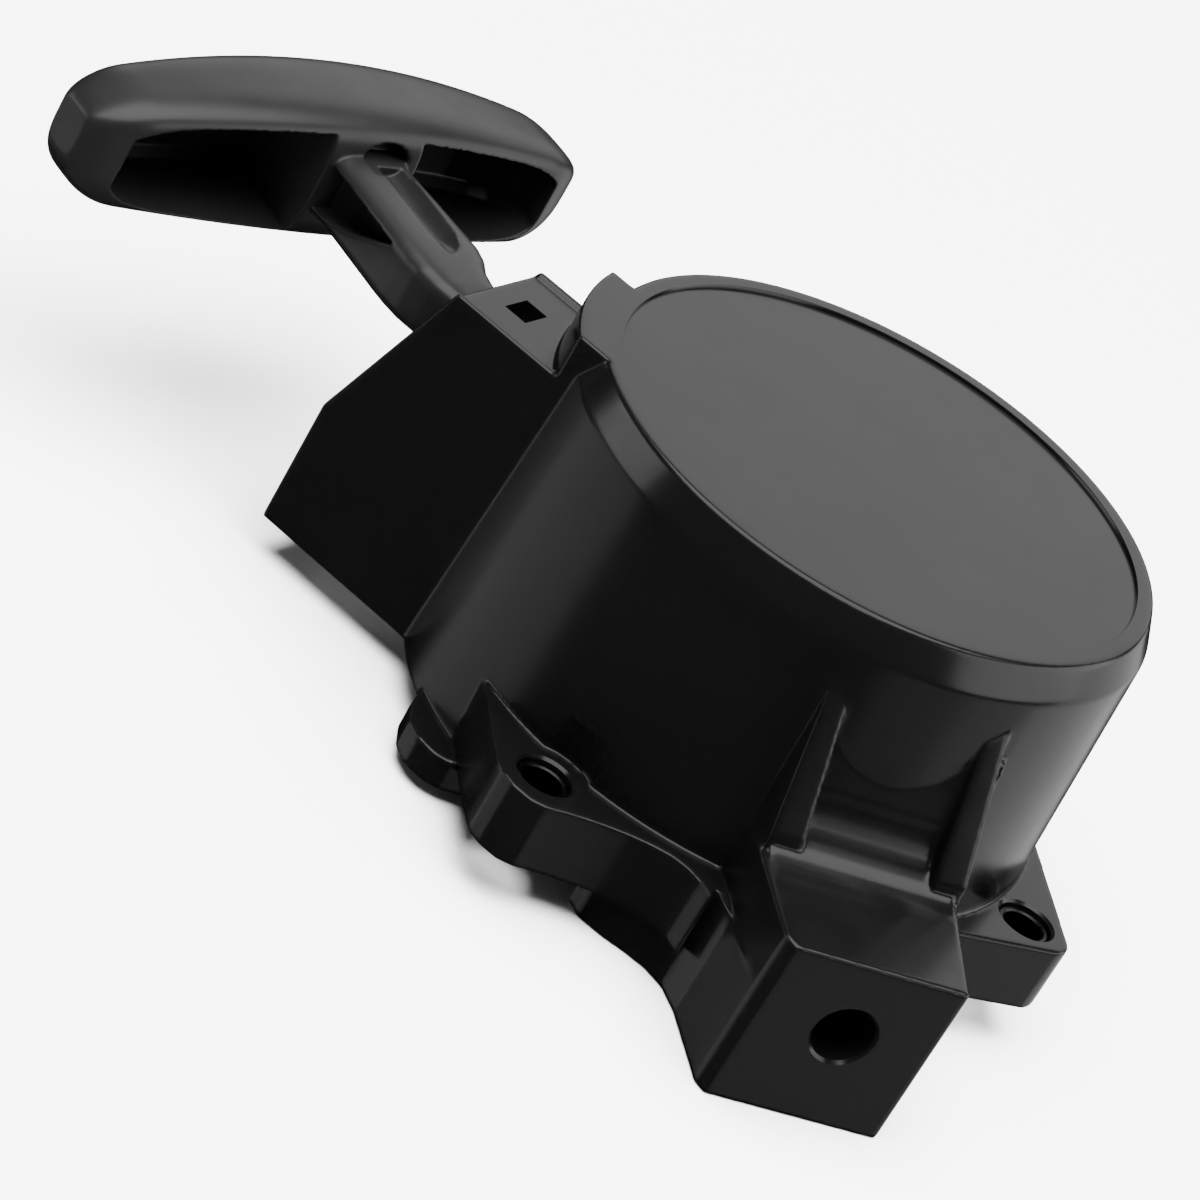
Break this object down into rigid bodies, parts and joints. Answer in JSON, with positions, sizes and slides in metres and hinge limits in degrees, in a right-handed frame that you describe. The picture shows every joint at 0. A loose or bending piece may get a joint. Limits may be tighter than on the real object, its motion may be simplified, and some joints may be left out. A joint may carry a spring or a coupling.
{
  "type": "recoil starter",
  "caption": "Deep drum-shaped pull starter housing with rope tower, T handle, bolt ears and side block; rope pulley, spiral spring and drive pawls inside.",
  "frame": {"origin": "crank axis, in the plane of the drum's open rim", "axes": "+Z along the crank axis towards the closed face, -X towards the rope tower"},
  "size_m": [0.1993, 0.1325, 0.0668],
  "materials": {
    "housing_plastic": "injection-moulded, fine satin texture",
    "grip_plastic": "injection-moulded, satin",
    "nylon": "moulded nylon, smooth",
    "steel": "machined, light oil",
    "zinc_plate": "zinc plated, dull",
    "spring_steel": "blued strip, greased",
    "rope": "braided polyester cord",
    "brass": "turned, knurled"
  },
  "bodies": {
    "base": {"housing": "housing_plastic", "bolt_sleeve_1": "zinc_plate", "bolt_sleeve_2": "zinc_plate", "bolt_sleeve_3": "zinc_plate", "bolt_sleeve_4": "zinc_plate", "block_insert": "brass", "rope_guide": "steel", "recoil_spring": "spring_steel", "spring_cover": "zinc_plate", "cover_screw_1": "steel", "cover_screw_2": "steel", "cover_screw_3": "steel", "centre_washer": "zinc_plate", "centre_bolt": "zinc_plate"},
    "reel": {"pulley": "nylon", "rope_coil": "rope", "pulley_knot": "rope", "pawl_pin_1": "steel", "pawl_pin_2": "steel", "brake_spring": "spring_steel"},
    "plate": {"friction_plate": "zinc_plate"},
    "pawl_a": {"pawl_1": "steel"},
    "pawl_b": {"pawl_2": "steel"},
    "grip": {"handle": "grip_plastic", "handle_cap": "grip_plastic", "rope_lead": "rope", "handle_knot": "rope"}
  },
  "joints": [
    {"name": "pulley_spin", "type": "hinge", "parent": "base", "child": "reel", "pos_m": [0, 0, 0.0431], "axis": [0, 0, -1], "range_deg": [0, 964], "stiffness_Nm_per_rad": 0.02, "springref_deg": -572.96, "deforming": ["recoil_spring"]},
    {"name": "handle_pull", "type": "slide", "parent": "base", "child": "grip", "axis": [-0.9455, 0.3256, 0], "range_m": [0, 0.6505]},
    {"name": "plate_lag", "type": "hinge", "parent": "reel", "child": "plate", "pos_m": [0, 0, 0.0322], "axis": [0, 0, 1], "range_deg": [0, 30]},
    {"name": "pawl_1_swing", "type": "hinge", "parent": "reel", "child": "pawl_a", "pos_m": [0.02, 0, 0.0354], "axis": [0, 0, 1], "range_deg": [0, 25.1]},
    {"name": "pawl_2_swing", "type": "hinge", "parent": "reel", "child": "pawl_b", "pos_m": [-0.02, 0, 0.0354], "axis": [0, 0, 1], "range_deg": [0, 25.1]}
  ],
  "couplings": [
    {"joint": "handle_pull", "follows": "pulley_spin", "m_per_rad": 0.03865},
    {"joint": "pawl_1_swing", "follows": "plate_lag", "ratio": 0.8333},
    {"joint": "pawl_2_swing", "follows": "plate_lag", "ratio": 0.8333}
  ]
}
